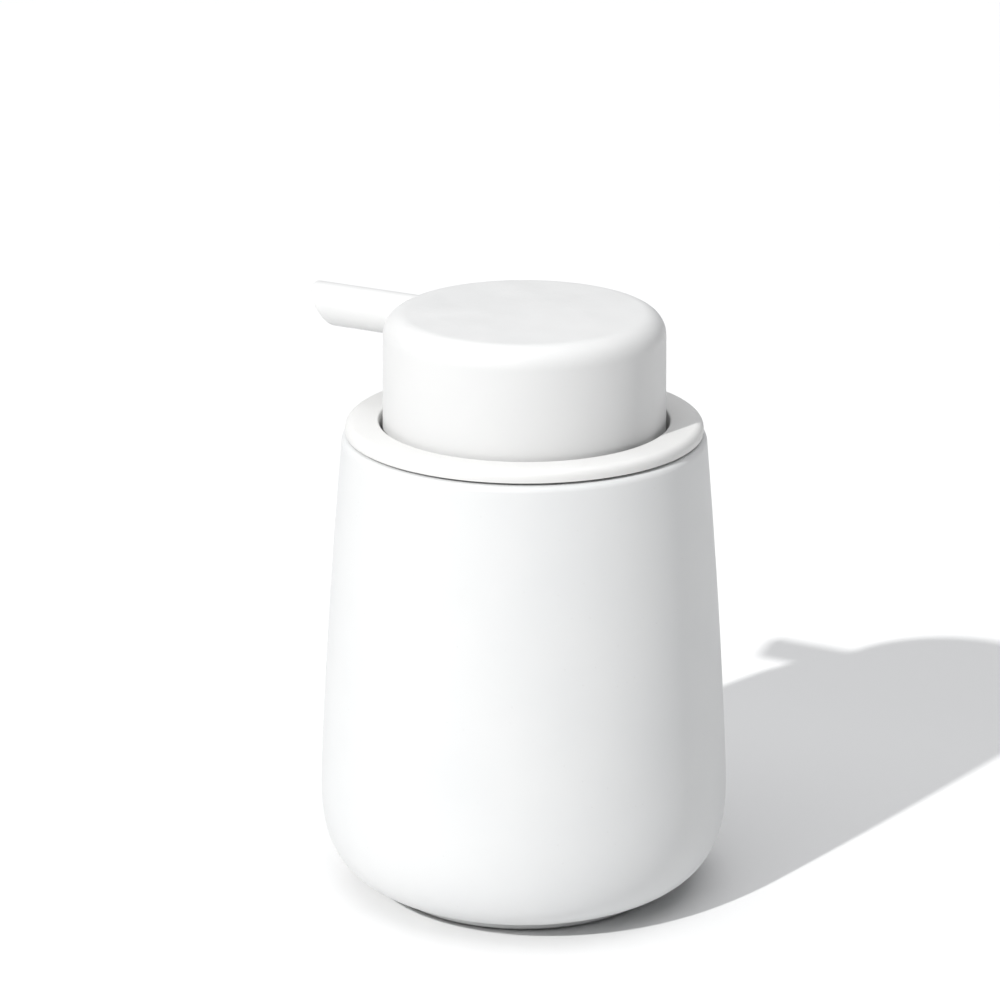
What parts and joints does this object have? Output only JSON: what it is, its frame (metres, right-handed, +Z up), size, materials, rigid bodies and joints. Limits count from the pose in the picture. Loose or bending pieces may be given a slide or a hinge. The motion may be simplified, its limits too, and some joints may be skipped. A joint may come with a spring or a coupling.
{
  "type": "soap pump dispenser",
  "caption": "Round white soap dispenser: ceramic vessel, deck ring with a well, wide press-down pump cap and a straight side spout.",
  "frame": {"origin": "vessel's axis, in the plane it stands on", "axes": "+Z up along the vessel's axis, spout towards -X"},
  "size_m": [0.0871, 0.0802, 0.1167],
  "materials": {
    "vessel_ceramic": "smooth matt white glaze",
    "foot_silicone": "matt light grey",
    "collar_plastic": "fine matt moulded white",
    "gasket_silicone": "matt black",
    "pump_plastic": "satin moulded white",
    "washer_foam": "fine closed-cell foam",
    "barrel_plastic": "milky translucent",
    "tube_plastic": "clear milky tube",
    "piston_plastic": "soft waxy natural",
    "spring_steel": "drawn stainless wire",
    "ball_steel": "polished stainless",
    "o_ring_rubber": "black rubber",
    "cap_plastic": "fine matt moulded white"
  },
  "bodies": {
    "vessel": {"vessel": "vessel_ceramic", "foot_pad": "foot_silicone"},
    "pump_unit": {"collar": "collar_plastic", "collar_gasket": "gasket_silicone", "pump_closure": "pump_plastic", "closure_washer": "washer_foam", "pump_cylinder": "barrel_plastic", "stem_guide": "pump_plastic", "ball_cage": "pump_plastic", "dip_tube": "tube_plastic", "return_spring": "spring_steel"},
    "plunger": {"piston_rod": "pump_plastic", "piston": "piston_plastic"},
    "head": {"stem": "pump_plastic", "head_core": "pump_plastic", "pump_cap": "cap_plastic", "spout": "cap_plastic", "spout_o_ring": "o_ring_rubber"},
    "inlet_valve": {"inlet_ball": "ball_steel"},
    "outlet_valve": {"outlet_ball": "ball_steel"}
  },
  "joints": [
    {"name": "pump_lift", "type": "slide", "parent": "vessel", "child": "pump_unit", "axis": [0, 0, 1], "range_m": [0, 0.1]},
    {"name": "pump_press", "type": "slide", "parent": "pump_unit", "child": "plunger", "axis": [0, 0, -1], "range_m": [0, 0.01], "stiffness_N_per_m": 600, "springref_m": -0.005, "deforming": ["return_spring"]},
    {"name": "head_turn", "type": "hinge", "parent": "plunger", "child": "head", "pos_m": [0, 0, 0.1], "axis": [0, 0, 1], "continuous": true},
    {"name": "inlet_lift", "type": "slide", "parent": "pump_unit", "child": "inlet_valve", "axis": [0, 0, 1], "range_m": [0, 0.0015]},
    {"name": "outlet_lift", "type": "slide", "parent": "plunger", "child": "outlet_valve", "axis": [0, 0, 1], "range_m": [0, 0.0012]}
  ]
}
